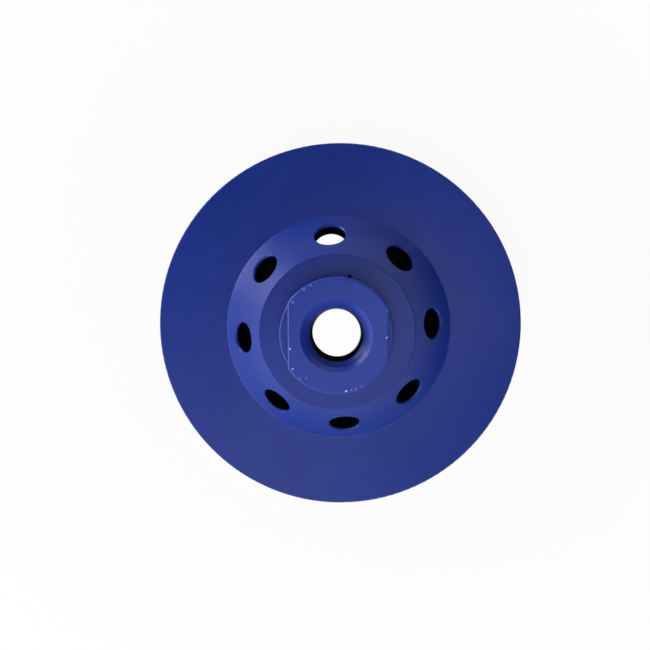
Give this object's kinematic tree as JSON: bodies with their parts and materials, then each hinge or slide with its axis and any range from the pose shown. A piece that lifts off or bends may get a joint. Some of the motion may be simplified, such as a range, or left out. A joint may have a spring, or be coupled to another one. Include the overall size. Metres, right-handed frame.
{
  "type": "diamond cup wheel",
  "caption": "Steel grinding cup with a flat rim, a vented conical dome, a threaded hub with two wrench flats, and two staggered rows of brazed diamond segments.",
  "frame": {"origin": "on the wheel's axis, in the plane of the segments' grinding faces", "axes": "+Z along the axis from the grinding faces towards the hub; +X square to one of the two wrench flats"},
  "size_m": [0.105, 0.105, 0.0303],
  "materials": {
    "painted_steel": "satin blue paint, small chips at the hub edges",
    "diamond_segment": "sintered metal bond with diamond grit, matt and gritty"
  },
  "bodies": {
    "root": {"cup_body": "painted_steel", "outer_segment_1": "diamond_segment", "outer_segment_2": "diamond_segment", "outer_segment_3": "diamond_segment", "outer_segment_4": "diamond_segment", "outer_segment_5": "diamond_segment", "outer_segment_6": "diamond_segment", "outer_segment_7": "diamond_segment", "outer_segment_8": "diamond_segment", "inner_segment_1": "diamond_segment", "inner_segment_2": "diamond_segment", "inner_segment_3": "diamond_segment", "inner_segment_4": "diamond_segment", "inner_segment_5": "diamond_segment", "inner_segment_6": "diamond_segment", "inner_segment_7": "diamond_segment", "inner_segment_8": "diamond_segment"}
  },
  "joints": []
}
